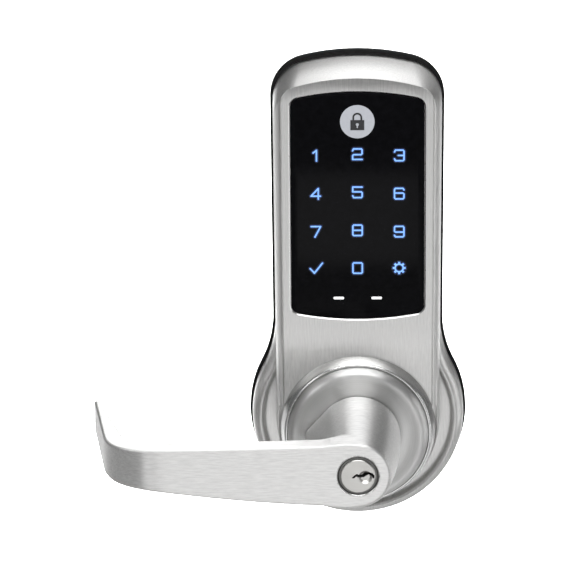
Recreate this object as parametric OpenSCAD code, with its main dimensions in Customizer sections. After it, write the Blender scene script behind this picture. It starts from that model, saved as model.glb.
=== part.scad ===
// Keypad lever lock, exterior trim, in millimetres.
// The spindle axis is the Y axis. The door's face is the plane y = 0 and the trim stands out of it
// towards -Y. Depths called h are measured from the door's face towards the user (h = -y), so a
// negative h lies inside the door. X points right as the user sees it and Z points up.

/* [Escutcheon outline] */
// Radius of the round base, seal included
base_r = 50; // [49.5:0.1:51]
// Half width of the keypad tower where it leaves the waist
tower_half = 39.1; // [38.8:0.1:39.4]
// Half width of the keypad tower at its top corners
tower_top_half = 39.6; // [39.2:0.1:40]
// Radius of the hollow waist between base and tower
waist_r = 50; // [48:1:56]
// Height of the top edge above the spindle
top_z = 171.8; // [171.5:0.1:173]
// Radius of the crowned top edge
crown_r = 105; // [95:5:125]
// Radius of the top corners
corner_r = 19; // [17:0.5:21]

/* [Escutcheon depth] */
// Thickness of the rubber door seal
seal_t = 4; // [3.6:0.1:4]
// Depth of the keypad face
face_h = 34; // [34:0.1:34.4]
// Depth of the rim around the round base
rim_h = 18; // [17:0.5:19]
// Depth of the crescent floor between rim and tower
moat_h = 15; // [14:0.5:16]
// Depth of the ring around the lever
ring_h = 40; // [40:0.1:40.5]

/* [Keypad] */
// Half width of the keypad lens
lens_half = 30.15; // [29.5:0.1:30.3]
// Lower edge of the lens at its middle
lens_bottom = 53.4; // [52.5:0.1:54]
// Upper edge of the lens at its middle
lens_top = 160.3; // [159:0.1:160.6]
// Sideways distance between key columns
key_dx = 18.8; // [17:0.1:20]
// Distance between key rows
key_dz = 17.95; // [17:0.05:18.2]
// Height of the lowest key row
key_z = 77.7; // [76:0.1:79]
// Width of a key legend
legend_w = 4.9; // [4:0.1:6]
// Height of a key legend
legend_tall = 5.6; // [4.5:0.1:6.5]
// Width of a legend's stroke
legend_stroke = 0.65; // [0.5:0.05:1]

/* [Lever] */
// Depth of the lever's front face
lever_h = 94; // [93.8:0.1:94.4]
// Reach of the lever's tip from the spindle axis
lever_reach = 121; // [119:0.5:123]
// Radius of the lever's round hub end
hub_r = 14.8; // [14.4:0.1:15.2]
// Radius of the lever's neck at its foot
neck_r = 19.3; // [19:0.1:19.4]
// Depth of the lever's tip where it returns to the door
tip_h = 28; // [26:0.5:32]

/* [Key cylinder] */
// Radius of the key plug
plug_r = 6.35; // [6.3:0.01:6.4]
// Radius of the cylinder shell
shell_r = 8.9; // [8.85:0.01:8.95]
// Number of pin chambers
pin_count = 6; // [4:1:6]

/* [Door fixing] */
// Distance between the two through bolts
bolt_spacing = 69.85; // [69:0.05:70.5]
// Length of the posts inside the door
post_len = 26; // [20:1:32]
// Radius of the spindle sleeve
sleeve_r = 9; // [8.98:0.01:9]

/* [Hidden] */
$fn = 64;
fit = 0.05;       // running clearance on a radius
gap = 0.2;        // clearance between set-in pieces
eps = 0.01;
metal_in = 1.2;   // metal edge inside the seal's edge
wall = 3.2;
plate_h0 = 2.4;
plate_h1 = seal_t;
roof_h = face_h - 3.5;
lens_h1 = face_h - 0.3;
lens_h0 = lens_h1 - 1.9;
seal_h0 = lens_h0 - 0.4;
frame_h0 = seal_h0 - 3;
board_h0 = frame_h0 - 1.6;
print_t = 0.1;
block_r = 38.3;
groove_x = 34.2;    // line groove beside the keypad
dish_r = 32.1;
cage_r = 28;
cage_h1 = 24;
stop_a = 62;       // angle of the end stops from the vertical
carrier_r = 11.4;
bore_r = sleeve_r + fit;
bolt_z = bolt_spacing / 2;
upper_z = 145;
outlet_z = 62;
plug_h1 = lever_h + 0.3;
shell_h0 = 62;
pin_pitch = 3.96;
pin_h = lever_h - 6.5;
pin_r = 1.4;
bible_x = -16.6;
catch_h = 50;
catch_r = 2;
key_glyphs = [
    ["ok", "0", "set"],
    ["7", "8", "9"],
    ["4", "5", "6"],
    ["1", "2", "3"]
];
seal_in = 5;       // width of the seal's land
board_half = 31;
board_z0 = 50;
board_z1 = 156;
plate_screws = [for (side = [-1, 1]) each [[side * 18, 161.5], [side * 30.8, 46], [side * 28, -24]]];
board_screws_at = [for (side = [-1, 1]) each [[side * 29, 148], [side * 29, 62]]];
cage_screws_at = [for (a = [-20, -62, -160]) 22 * [cos(a), sin(a)]];
status_spots = [[-8.6, 63.4], [8.6, 63.4]];
badge_spot = [0, 146.7];
led_spots = concat(
    [for (row = [0:3]) for (col = [-1:1]) [col * key_dx, key_row_z(row, col)]],
    [badge_spot], status_spots);

// ---- Outlines, as points in the front view ----

// Points along an arc of radius r about [cx, cz], from angle a0 to a1 in n steps.
function arc(cx, cz, r, a0, a1, n) =
    [for (k = [0:n]) let (a = a0 + (a1 - a0) * k / n) [cx + r * cos(a), cz + r * sin(a)]];

// A right half, listed from the bottom of the centreline to its top, with its mirror image.
function both_sides(half) =
    concat(half, [for (k = [len(half) - 2 : -1 : 1]) [-half[k][0], half[k][1]]]);

// Quadratic curve from a to c, pulled towards b.
function curve(a, b, c, n) =
    [for (k = [0:n]) let (t = k / n) (1 - t) * (1 - t) * a + 2 * t * (1 - t) * b + t * t * c];

// Crowned top of an outline whose side ends at half width w, with its top at z = top.
function crown(w, top, inset) =
    let (cz = top - crown_r,
         kx = w - corner_r,
         kz = cz + sqrt(pow(crown_r - corner_r, 2) - kx * kx),
         a = atan2(kz - cz, kx))
    concat(arc(kx, kz, corner_r - inset, 0, a, 8), arc(0, cz, crown_r - inset, a, 90, 8));

// Whole escutcheon: round base, hollow waist, slightly flared tower and crowned top.
function outline(inset, top = top_z) =
    let (cx = tower_half + waist_r,
         cz = sqrt(pow(base_r + waist_r, 2) - cx * cx),
         a = atan2(cz, cx))
    both_sides(concat(
        arc(0, 0, base_r - inset, -90, a, 26),
        arc(cx, cz, waist_r + inset, 180 + a, 180, 8),
        crown(tower_top_half, top, inset)));

// Tower block, with a half-round bottom about the spindle.
function block(inset, top) =
    both_sides(concat(
        arc(0, 0, block_r - inset, -90, 0, 20),
        crown(tower_top_half - metal_in, top, inset)));

// Keypad lens: straight sides, bowed top and bottom, small corners.
function lens(inset) =
    let (bow_low = 141, bow_high = 130, kr = 4.2,
         kx = lens_half - kr,
         low = lens_bottom + bow_low,
         high = lens_top - bow_high,
         kz0 = low - sqrt(pow(bow_low - kr, 2) - kx * kx),
         kz1 = high + sqrt(pow(bow_high - kr, 2) - kx * kx),
         a0 = atan2(kz0 - low, kx),
         a1 = atan2(kz1 - high, kx),
         r = max(kr - inset, 0.3),
         x = lens_half - inset - r)
    both_sides(concat(
        arc(0, low, bow_low - inset, -90, a0, 8),
        arc(x, kz0, r, a0, 0, 5),
        arc(x, kz1, r, 0, a1, 5),
        arc(0, high, bow_high - inset, a1, 90, 8)));

function key_row_z(row, col) = key_z + row * key_dz - (col != 0 && row > 0 ? 0.65 : 0);

// ---- Shared builders ----

// Extrudes a drawing of the front view from depth h0 to depth h1.
module slab(h0, h1) {
    translate([0, -h0, 0]) rotate([90, 0, 0]) linear_extrude(h1 - h0) children();
}

// Turns a drawing of [radius, depth] about the spindle axis.
module turned() {
    rotate([90, 0, 0]) rotate_extrude() children();
}

module disc(r, h0, h1) {
    slab(h0, h1) circle(r);
}

module ring(r_out, r_in, h0, h1) {
    slab(h0, h1) difference() {
        circle(r_out);
        circle(r_in);
    }
}

module at(x, z) {
    translate([x, 0, z]) children();
}

// Closed skin through a stack of [depth, outline] pairs, from the back to the front.
module loft(stack) {
    n = len(stack[0][1]);
    last = len(stack) - 1;
    points = [for (s = stack) for (p = s[1]) [p[0], -s[0], p[1]]];
    back = [for (j = [0 : n - 1]) j];
    front = [for (j = [n - 1 : -1 : 0]) last * n + j];
    sides = [for (k = [0 : last - 1]) for (j = [0 : n - 1])
        let (a = k * n + j, b = k * n + (j + 1) % n)
        each [[a, a + n, b + n], [a, b + n, b]]];
    polyhedron(points, concat([back], sides, [front]));
}

// Round wire of radius w through a list of points, each ring square to the path.
module wire(path, w, sides) {
    last = len(path) - 1;
    rings = [for (k = [0:last])
        let (t = path[min(k + 1, last)] - path[max(k - 1, 0)],
             d = t / norm(t),
             u0 = cross(d, [0, 1, 0]),
             u = norm(u0) > 0.2 ? u0 / norm(u0) : cross(d, [0, 0, 1]) / norm(cross(d, [0, 0, 1])),
             v = cross(d, u))
        for (j = [0 : sides - 1]) let (a = 360 * j / sides) path[k] + w * (u * cos(a) + v * sin(a))];
    skin = [for (k = [0 : last - 1]) for (j = [0 : sides - 1])
        let (a = k * sides + j, b = k * sides + (j + 1) % sides)
        each [[a, a + sides, b + sides], [a, b + sides, b]]];
    first_cap = [for (j = [0 : sides - 1]) j];
    last_cap = [for (j = [sides - 1 : -1 : 0]) last * sides + j];
    polyhedron(rings, concat([first_cap], skin, [last_cap]));
}

// Flat line of width w with round ends and corners.
module stroke(points, w) {
    for (k = [0 : len(points) - 2]) {
        step = points[k + 1] - points[k];
        translate(points[k]) rotate(atan2(step[1], step[0])) translate([0, -w / 2]) square([norm(step), w]);
    }
    for (p = points) translate(p) circle(w / 2, $fn = 16);
}

// Countersunk or pan screw: head of radius hr behind depth h, shank forward to h1.
module screw(hr, ht, r, h, h1) {
    difference() {
        union() {
            disc(hr, h - ht, h);
            disc(r, h - eps, h1);
        }
        slab(h - ht - eps, h - ht + 0.7) {
            square([hr * 1.1, 0.6], center = true);
            square([0.6, hr * 1.1], center = true);
        }
    }
}

// ---- Escutcheon ----

module housing_shell() {
    metal_top = top_z - 0.6;
    loft([
        [seal_t, outline(metal_in, metal_top)],
        [12, outline(metal_in + 0.1, metal_top)],
        [rim_h - 2.6, outline(metal_in + 0.8, metal_top)],
        [rim_h - 0.8, outline(metal_in + 2, metal_top)],
        [rim_h, outline(metal_in + 3.6, metal_top)]
    ]);
    loft([
        [rim_h - 8, block(0, 169.6)],
        [face_h - 3, block(0.9, 168.8)],
        [face_h - 0.8, block(1.3, 168.3)],
        [face_h, block(2.1, 168.7)]
    ]);
    turned() polygon([
        [dish_r + gap, roof_h], [35.4, roof_h], [35.4, face_h - eps], [dish_r + 1, ring_h],
        [dish_r + gap, ring_h]
    ]);
}

module moat() {
    difference() {
        turned() polygon([
            [block_r - 1, moat_h], [42.7, moat_h], [43.2, moat_h + 0.9], [43.7, rim_h - 0.7],
            [44.6, rim_h + eps], [44.6, rim_h + 2], [block_r - 1, rim_h + 2]
        ]);
        loft([[moat_h - 1, block(0, 170)], [rim_h + 3, block(0.3, 170)]]);
    }
}

module housing() color("silver") difference() {
    union() {
        difference() {
            housing_shell();
            moat();
            // hollow of the skirt, then of the tower
            slab(seal_t - 1, 11) polygon(outline(metal_in + 3.4, top_z - 0.6));
            slab(seal_t - 1, roof_h) polygon(block(wall, 168));
        }
        // frame that carries the keypad pieces
        slab(frame_h0, roof_h + eps) difference() {
            polygon(block(wall - 1, 168));
            polygon([[-60, -60], [60, -60], [60, 48], [-60, 48]]);
            polygon(lens(3.4));
        }
        for (s = plate_screws) at(s[0], s[1]) disc(3.2, seal_t, roof_h + 1);
        // ribs from the middle bosses to the side walls
        for (side = [-1, 1]) at(side * 33.2, 46) slab(seal_t, roof_h + 1) square([5, 3], center = true);
    }
    // keypad recess and window
    slab(seal_h0, face_h + 1) polygon(lens(-gap));
    slab(frame_h0 - 1, face_h) polygon(lens(3.4));
    // well of the spindle, with a step under the dish
    disc(dish_r - 1.1, seal_t - 1, ring_h + 1);
    disc(dish_r + gap, ring_h - 3, ring_h + 1);
    // line grooves at both sides of the face
    for (side = [-1, 1])
        slab(face_h - 0.4, face_h + 1) translate([side * groove_x - 0.2, 2]) square([0.4, 157]);
    for (s = plate_screws) at(s[0], s[1]) disc(1.5, seal_t - 1, seal_t + 12);
    for (s = board_screws_at) at(s[0], s[1]) disc(1, frame_h0 - 1, frame_h0 + 4);
}

module door_gasket() color("#262626")
    slab(0, seal_t) difference() {
        polygon(outline(0));
        polygon(outline(seal_in));
    }

module back_plate() color("#9a9c9e") difference() {
    slab(plate_h0, plate_h1) polygon(outline(seal_in + gap));
    disc(11.5 + fit, 0, 10);
    for (side = [-1, 1]) at(0, side * bolt_z) disc(3.95 + fit, 0, 10);
    at(0, upper_z) disc(3.95 + fit, 0, 10);
    at(0, outlet_z) disc(8, 0, 10);
    for (s = plate_screws) at(s[0], s[1]) disc(1.7, 0, 10);
    for (s = cage_screws_at) at(s[0], s[1]) disc(1.25, 0, 10);
}

module back_plate_screws() color("#6e7073")
    for (s = plate_screws) at(s[0], s[1]) screw(2.6, 1.6, 1.45, plate_h0, seal_t + 9);

module rose_dish() color("#b4b4b2")
    turned() polygon([
        [18, 42.6], [24.5, 42.7], [25.4, 43.1], [26.5, 43.8], [28, 44.3], [29.3, 44.2], [30.5, 43.5],
        [31.5, 42.2], [32, 40.8], [dish_r, 39.4], [dish_r, ring_h - 3], [30.3, ring_h - 3], [30.3, 40.8],
        [29.4, 42], [28, 42.5], [26.5, 42], [25.4, 41.3], [24, 40.9], [18, 40.8]
    ]);

// ---- Keypad ----

module keypad_lens() color("#141416")
    slab(lens_h0, lens_h1) polygon(lens(0));

module lens_seal() color("#3a3a3a")
    slab(seal_h0, lens_h0) difference() {
        polygon(lens(0.3));
        polygon(lens(3));
    }

function glyph_lines(name) =
    name == "1" ? [[[-0.5, 0.5], [0.2, 1], [0.2, -1]]] :
    name == "2" ? [[[-1, 0.65], [-0.8, 1], [0.8, 1], [1, 0.8], [1, 0.1], [0.8, -0.1], [-0.8, -0.1],
                    [-1, -0.3], [-1, -1], [1, -1]]] :
    name == "3" ? [[[-1, 0.65], [-0.8, 1], [0.8, 1], [1, 0.8], [1, -0.8], [0.8, -1], [-0.8, -1],
                    [-1, -0.65]], [[-0.2, 0], [1, 0]]] :
    name == "4" ? [[[0.55, -1], [0.55, 1], [-1, -0.45], [1, -0.45]]] :
    name == "5" ? [[[1, 1], [-1, 1], [-1, 0.1], [0.8, 0.1], [1, -0.1], [1, -0.8], [0.8, -1], [-0.8, -1],
                    [-1, -0.65]]] :
    name == "6" ? [[[1, 0.7], [0.8, 1], [-0.8, 1], [-1, 0.8], [-1, -0.8], [-0.8, -1], [0.8, -1], [1, -0.8],
                    [1, -0.1], [0.8, 0.1], [-1, 0.1]]] :
    name == "7" ? [[[-1, 1], [1, 1], [-0.2, -1]]] :
    name == "8" ? [[[-1, 0.8], [-0.8, 1], [0.8, 1], [1, 0.8], [1, -0.8], [0.8, -1], [-0.8, -1], [-1, -0.8],
                    [-1, 0.8]], [[-1, 0], [1, 0]]] :
    name == "9" ? [[[-1, -0.7], [-0.8, -1], [0.8, -1], [1, -0.8], [1, 0.8], [0.8, 1], [-0.8, 1], [-1, 0.8],
                    [-1, 0.1], [-0.8, -0.1], [1, -0.1]]] :
    name == "0" ? [[[-1, 0.8], [-0.8, 1], [0.8, 1], [1, 0.8], [1, -0.8], [0.8, -1], [-0.8, -1], [-1, -0.8],
                    [-1, 0.8]]] :
    name == "ok" ? [[[-1.25, -0.1], [-0.35, -0.95], [1.35, 0.95]]] : [];

module glyph(name) {
    sx = (legend_w - legend_stroke) / 2;
    sz = (legend_tall - legend_stroke) / 2;
    if (name == "set") {
        difference() {
            union() {
                circle(2.15);
                for (k = [0:7]) rotate(45 * k) translate([1.8, -0.45]) square([1.1, 0.9]);
            }
            circle(1.5);
        }
    } else {
        for (line = glyph_lines(name)) stroke([for (p = line) [p[0] * sx, p[1] * sz]], legend_stroke);
    }
}

module key_legends() color("#8fc4ff")
    for (row = [0:3]) for (col = [0:2])
        at((col - 1) * key_dx, key_row_z(row, col - 1))
            slab(lens_h1, lens_h1 + print_t) glyph(key_glyphs[row][col]);

module wake_badge() color("#dfe3ea")
    at(badge_spot[0], badge_spot[1]) disc(7.75, lens_h1, lens_h1 + print_t);

// Plain padlock: body, shackle and keyhole.
module wake_symbol() color("#1d1d20")
    at(badge_spot[0], badge_spot[1]) slab(lens_h1 + print_t, lens_h1 + 2 * print_t) {
        difference() {
            translate([-3.1, -3.9]) square([6.2, 4.7]);
            translate([0, -1.3]) circle(0.7);
            translate([-0.3, -2.9]) square([0.6, 1.6]);
        }
        difference() {
            union() {
                translate([0, 2]) circle(2.2);
                translate([-2.2, 0.7]) square([4.4, 1.3]);
            }
            translate([0, 2]) circle(1.4);
            translate([-1.4, 0.6]) square([2.8, 1.4]);
        }
    }

module status_windows() color("#f2f2f0")
    for (s = status_spots) at(s[0], s[1])
        slab(lens_h1, lens_h1 + print_t) stroke([[-1.8, 0], [1.8, 0]], 1.25);

module light_guide() color("#e8e8e0") difference() {
    slab(frame_h0 + 0.1, lens_h0 - 0.1) polygon(lens(3.6));
    for (s = led_spots) at(s[0], s[1]) disc(2.2, frame_h0, frame_h0 + 1.3);
}

module keypad_board() color("#1f6b3a") difference() {
    slab(board_h0, frame_h0)
        translate([-board_half, board_z0]) square([2 * board_half, board_z1 - board_z0]);
    for (s = board_screws_at) at(s[0], s[1]) disc(1.1, 0, face_h);
}

module key_leds() color("#f5f0c8")
    for (s = led_spots) at(s[0], s[1]) slab(frame_h0, frame_h0 + 0.8) square([1.6, 1.2], center = true);

module controller_chip() color("#17171a")
    at(9, 100) slab(board_h0 - 1.2, board_h0) square([12, 12], center = true);

module board_connector() color("#f0ead6") difference() {
    at(-8, 72) slab(board_h0 - 5, board_h0) square([16, 7], center = true);
    at(-8, 72) slab(board_h0 - 6, board_h0 - 1) square([14, 5], center = true);
}

module buzzer() color("#202022") difference() {
    at(-12, 128) disc(6, board_h0 - 5, board_h0);
    at(-12, 128) disc(1, board_h0 - 6, board_h0 - 3);
}

module board_screws() color("#8c8e90")
    for (s = board_screws_at) at(s[0], s[1]) screw(1.9, 1.2, 0.95, board_h0, frame_h0 + 2.6);

module cable_grommet() color("#222222")
    at(0, outlet_z) turned() polygon([
        [4.5, 1.2], [10, 1.2], [10, plate_h0], [8, plate_h0], [8, plate_h1], [10, plate_h1],
        [10, plate_h1 + 1.2], [4.5, plate_h1 + 1.2]
    ]);

// ---- Door fixing ----

// Threaded post with a flange in front of the plate.
module post() difference() {
    union() {
        disc(5.6, plate_h1, plate_h1 + 1.6);
        disc(3.95, -post_len, plate_h1 + eps);
    }
    disc(2.55, -post_len - 1, -post_len + 20);
}

module through_bolt_posts() color("#8a8c8f")
    for (side = [-1, 1]) at(0, side * bolt_z) post();

module upper_post() color("#8a8c8f")
    at(0, upper_z) post();

// ---- Return spring and bearings ----

module spring_cage() color("#7c7e81") difference() {
    union() {
        disc(cage_r, plate_h1, plate_h1 + 1.8);
        ring(cage_r, cage_r - 2, plate_h1, cage_h1);
        // end stops for the carrier's arm, and the post that holds the spring's fixed leg
        for (side = [-1, 1])
            rotate([0, side * stop_a, 0]) at(0, 22.8)
                slab(plate_h1, cage_h1) square([4.4, 6.6], center = true);
        at(0, -21.5) disc(2.2, plate_h1, cage_h1 - 6);
        for (s = cage_screws_at) at(s[0], s[1]) disc(2.6, plate_h1, cage_h1 - 8);
    }
    disc(14.2, 0, 10);
    for (s = cage_screws_at) at(s[0], s[1]) disc(1.2, 0, cage_h1 - 12);
}

module cage_cover() color("#8e9093")
    ring(cage_r, 11 + fit, cage_h1, cage_h1 + 1.5);

module cage_screws() color("#6e7073")
    for (s = cage_screws_at) at(s[0], s[1]) screw(2.4, 1.4, 1.15, plate_h0, plate_h1 + 6);

module front_bush() color("#ece8dc") {
    ring(11, bore_r, cage_h1 - 0.4, cage_h1 + 3);
    ring(14, 11 - eps, cage_h1 + 1.5, cage_h1 + 3);
}

module rear_bush() color("#ece8dc") {
    ring(11.5, bore_r, 2, plate_h1 + 2.4);
    ring(14, 11.5 - eps, plate_h1 + eps, plate_h1 + 1.4);
}

// Coil about the spindle with one leg out to the carrier's arm and one to the cage's post.
module return_spring() color("#55585c") {
    turns = 5;
    coil_r = 14.2;
    h0 = 8;
    h1 = 19.6;
    coil = [for (k = [0 : turns * 20 + 10])
        let (a = 270 + 18 * k, h = h0 + (h1 - h0) * k / (turns * 20 + 10))
        [coil_r * cos(a), -h, coil_r * sin(a)]];
    leg0 = [[3.3, -h0, -22], [1.2, -h0, -17.5]];
    leg1 = [[-1.4, -h1, 16.6], [-4.1, -h1, 19.2], [-4.1, -h1, 23]];
    wire(concat(leg0, coil, leg1), 0.9, 8);
}

module retaining_ring() color("#5a5c60") difference() {
    ring(12, 8.6, 0.35, 1.3);
    slab(0, 2) translate([-3, -14]) square([6, 8]);
}

module thrust_washer() color("#a6a8aa")
    ring(12.5, sleeve_r, 1.35, 1.9);

module spindle_sleeve() color("#85878a") difference() {
    disc(sleeve_r, -post_len, 60);
    disc(7.5, -post_len - 1, 61);
    ring(sleeve_r + 1, 8.55, 0.3, 1.35);
    // slots that drive the latch, and the hole for the catch
    for (side = [-1, 1])
        slab(-post_len - 1, -post_len + 12) translate([side * 8.2, 0]) square([3.4, 4], center = true);
    translate([0, -catch_h, -12]) cylinder(r = catch_r + fit, h = 8);
}

// Hub on the sleeve, with an arm that swings between the cage's stops.
module spring_carrier() color("#96989b") difference() {
    union() {
        disc(carrier_r, plate_h1 + 2.8, cage_h1 - 0.7);
        slab(cage_h1 - 3.2, cage_h1 - 0.7) translate([-3, 0]) square([6, 24]);
        slab(11, cage_h1 - 0.7) translate([-3, 19.2]) square([6, 4.8]);
    }
    disc(sleeve_r, 0, cage_h1 + 1);
}

// ---- Lever ----

// Front view of the lever: round hub end, then a blade that narrows towards the tip.
function lever_face() = concat(
    arc(0, 0, hub_r, -90, 90, 20),
    curve([0, hub_r], [-50, 12.8], [-lever_reach - 1, 12.3], 10),
    curve([-lever_reach - 1, -3], [-52, -14.4], [0, -hub_r], 10));

// Plan view of the blade as [x, h]: flat front, a bend that tightens towards its middle, and a tapered
// leg back towards the door.
function lever_plan() =
    let (lean = tan(8), thick = 9.6, bend_h = 74, inner_h = 70,
         leg_x = -lever_reach + (bend_h - tip_h) * lean,
         corner_x = -lever_reach + (lever_h - tip_h) * lean,
         inner_x = leg_x + 7.6)
    concat(
        [[hub_r + 1, lever_h]],
        curve([-88, lever_h], [corner_x, lever_h], [leg_x, bend_h], 10),
        [[-lever_reach, tip_h], [-lever_reach + 1.8, tip_h - 0.3]],
        curve([-lever_reach + 2, tip_h], [-lever_reach + 9, 52], [inner_x, inner_h], 6),
        curve([inner_x, inner_h], [inner_x + 2.9, lever_h - 9.2], [inner_x + 14.4, lever_h - 9.3], 6),
        [[hub_r + 1, lever_h - thick]]);

module lever_handle() color("silver") difference() {
    union() {
        intersection() {
            slab(tip_h - 1, lever_h) polygon(lever_face());
            translate([0, 0, -hub_r - 1]) linear_extrude(2 * hub_r + 2)
                polygon([for (p = lever_plan()) [p[0], -p[1]]]);
        }
        // neck and the wedge beside it that houses the pin chambers
        hull() {
            disc(neck_r, 43.2, 43.3, $fn = 32);
            at(-18.5, 0) disc(5.5, 43.2, 43.3, $fn = 32);
            disc(hub_r, lever_h - 8, lever_h - 7.9, $fn = 32);
            at(-18, 0) disc(5.5, lever_h - 8, lever_h - 7.9, $fn = 32);
        }
        disc(17.4, 40, 43.3);
    }
    disc(sleeve_r, 39, lever_h + 1);
    disc(10.4, 60.6, shell_h0);
    turned() polygon([
        [0, lever_h - 0.4], [sleeve_r, lever_h - 0.4], [sleeve_r + 0.5, lever_h + 0.1], [0, lever_h + 0.1]
    ]);
    slab(39, lever_h - 3.2) translate([bible_x - 0.8, -2.8]) square([-bible_x, 5.6]);
    translate([0, -catch_h, -24]) cylinder(r = catch_r + fit, h = 18);
}

module lever_catch() color("#77797c") {
    translate([0, -catch_h, -17.4]) cylinder(r = catch_r, h = 11);
    translate([0, -catch_h, -6.9]) cylinder(r = 2.6, h = 0.6);
}

// Leaf that pushes the catch outwards.
module catch_spring() color("#4e5155") {
    slab(45.5, 57) translate([-1.2, -6.2]) square([2.4, 0.3]);
    slab(56, 57) translate([-1.2, -7.4]) square([2.4, 1.3]);
}

// ---- Key cylinder ----

module cylinder_shell() color("#a9a9a6") difference() {
    union() {
        turned() polygon([
            [plug_r + fit, shell_h0], [shell_r, shell_h0], [shell_r, lever_h - 0.9],
            [shell_r - 0.3, lever_h - 0.6], [plug_r + fit, lever_h - 0.6]
        ]);
        slab(shell_h0 + 2, lever_h - 4) translate([bible_x, -2.5]) square([-bible_x - 7, 5]);
    }
    disc(plug_r + fit, shell_h0 - 1, lever_h);
    disc(7.75 + fit, lever_h - 2.2, lever_h);
    for (k = [0 : pin_count - 1])
        chamber_pin(k, bible_x - 1, 12, pin_r + fit);
}

function bitting(k) = [3.3, 4.3, 3.7, 4.6, 3.9, 3.4][k];

// One cylinder per chamber, from x0 over a length of len towards +X.
module chamber_pin(k, x0, length, r) {
    translate([x0, -pin_h + k * pin_pitch, 0]) rotate([0, 90, 0]) cylinder(r = r, h = length);
}

module driver_pins() color("#c0a060")
    for (k = [0 : pin_count - 1]) chamber_pin(k, -10.4, 3.9, pin_r);

module pin_springs() color("#b0b2b4") {
    turns = 4;
    steps = 9;
    for (k = [0 : pin_count - 1]) {
        coil = [for (j = [0 : turns * steps])
            let (a = 360 * j / steps)
            [-10.7 - 5.3 * j / (turns * steps), -pin_h + k * pin_pitch + 1 * cos(a), 1 * sin(a)]];
        wire(coil, 0.2, 5);
    }
}

module chamber_cover() color("#9b9d9f")
    slab(shell_h0 + 2, lever_h - 4) translate([bible_x - 0.5, -2.5]) square([0.5, 5]);

module cylinder_retainer() color("#5a5c60") difference() {
    ring(10.2, 8.5, 60.9, 61.8);
    slab(60, 63) translate([4, -3]) square([8, 6]);
}

// Winding slot for the key, seen from the front.
module keyway()
    polygon([
        [-2.9, -0.75], [-1.7, 0.55], [-0.6, 1.2], [0.5, 0.7], [1.6, 0.6], [2.8, 1.6], [5, 1.95],
        [6.6, 1.45], [7.3, 0.4], [7.3, -0.9], [6.6, -0.9], [6, 0.2], [4.7, 0.6], [3.6, 0.1],
        [2.7, -0.6], [1.3, -0.85], [0, -0.5], [-0.8, 0], [-1.8, -0.9]
    ]);

module key_plug() color("#b4b2ac") difference() {
    union() {
        disc(plug_r, 60, lever_h - 2);
        turned() polygon([
            [0, lever_h - 2.15], [7.75, lever_h - 2.15], [7.75, plug_h1 - 0.3], [7.45, plug_h1],
            [0, plug_h1]
        ]);
    }
    slab(65, lever_h + 1) keyway();
    // shallow funnel at the slot's outer half
    translate([3.2, -plug_h1 + 1, -0.4]) rotate([90, 0, 0]) cylinder(r1 = 2, r2 = 3.1, h = 1 + eps);
    ring(plug_r + 1, 5.2, 60.85, 61.7);
    slab(59, 64.5) square([6.5, 2.1], center = true);
    for (k = [0 : pin_count - 1]) chamber_pin(k, -7, 5.7, pin_r + fit);
}

module key_pins() color("#c9ab5e")
    for (k = [0 : pin_count - 1]) chamber_pin(k, -6.12, bitting(k), pin_r);

module tailpiece() color("#8d8f92") {
    slab(-34, 64.4) square([6.4, 2], center = true);
}

module plug_clip() color("#55585c") difference() {
    ring(8.2, 5.25, 60.95, 61.6);
    slab(60, 62.5) translate([-2.5, -9]) square([5, 6]);
}

housing();
door_gasket();
back_plate();
back_plate_screws();
rose_dish();
keypad_lens();
lens_seal();
key_legends();
wake_badge();
wake_symbol();
status_windows();
light_guide();
keypad_board();
key_leds();
controller_chip();
board_connector();
buzzer();
board_screws();
cable_grommet();
through_bolt_posts();
upper_post();
spring_cage();
cage_cover();
cage_screws();
front_bush();
rear_bush();
return_spring();
lever_handle();
spindle_sleeve();
spring_carrier();
thrust_washer();
retaining_ring();
cylinder_shell();
driver_pins();
pin_springs();
chamber_cover();
cylinder_retainer();
catch_spring();
lever_catch();
key_plug();
key_pins();
tailpiece();
plug_clip();
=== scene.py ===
"""Keypad lever lock, exterior trim: meshes, materials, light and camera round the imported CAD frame.

The spindle axis is Y, the door's face is y = 0, the user stands at -Y, X points to the user's right and Z
points up. Lengths are in millimetres until new_object() turns them into metres. Depths called h are
millimetres in front of the door, as in the CAD source.
"""
import math

import bmesh
import bpy
import numpy as np
from mathutils import Matrix, Vector


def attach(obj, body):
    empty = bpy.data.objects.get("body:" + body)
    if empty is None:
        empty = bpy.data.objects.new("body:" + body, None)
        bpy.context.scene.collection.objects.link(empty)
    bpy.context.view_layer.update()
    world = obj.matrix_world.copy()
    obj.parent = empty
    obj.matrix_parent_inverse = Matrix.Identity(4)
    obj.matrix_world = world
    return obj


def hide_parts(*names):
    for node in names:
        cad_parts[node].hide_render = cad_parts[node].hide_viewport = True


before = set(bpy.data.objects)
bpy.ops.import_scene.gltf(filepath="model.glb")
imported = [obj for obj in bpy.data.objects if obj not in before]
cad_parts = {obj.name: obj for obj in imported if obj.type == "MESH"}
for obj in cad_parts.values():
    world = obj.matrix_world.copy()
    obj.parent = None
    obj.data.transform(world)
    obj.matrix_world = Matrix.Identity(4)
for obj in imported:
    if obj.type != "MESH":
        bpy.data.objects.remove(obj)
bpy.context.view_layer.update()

MM = 0.001

# ---- Driving sizes in millimetres, as in the CAD source ----

# Escutcheon, seen from the front
BASE_R = 50.0           # round base about the spindle
WAIST_R = 50.0          # hollow flank between the base and the tower
TOWER_HALF = 39.1       # half width at the waist
TOWER_TOP_HALF = 39.6   # half width under the top corners
TOP_Z = 171.8
CORNER_R = 19.0         # top corners
CROWN_R = 105.0         # bowed top edge
TOWER_FLARE = 0.5       # how much each side of the tower leans out from FLARE_Z over FLARE_RUN
FLARE_Z = 10.0
FLARE_RUN = 120.0
WELL_R = 31.0           # round hole that the collar and the dish fill
CUT_BACK = 3            # cutters for hollows begin here, behind the housing's back at SEAL_T

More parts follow.
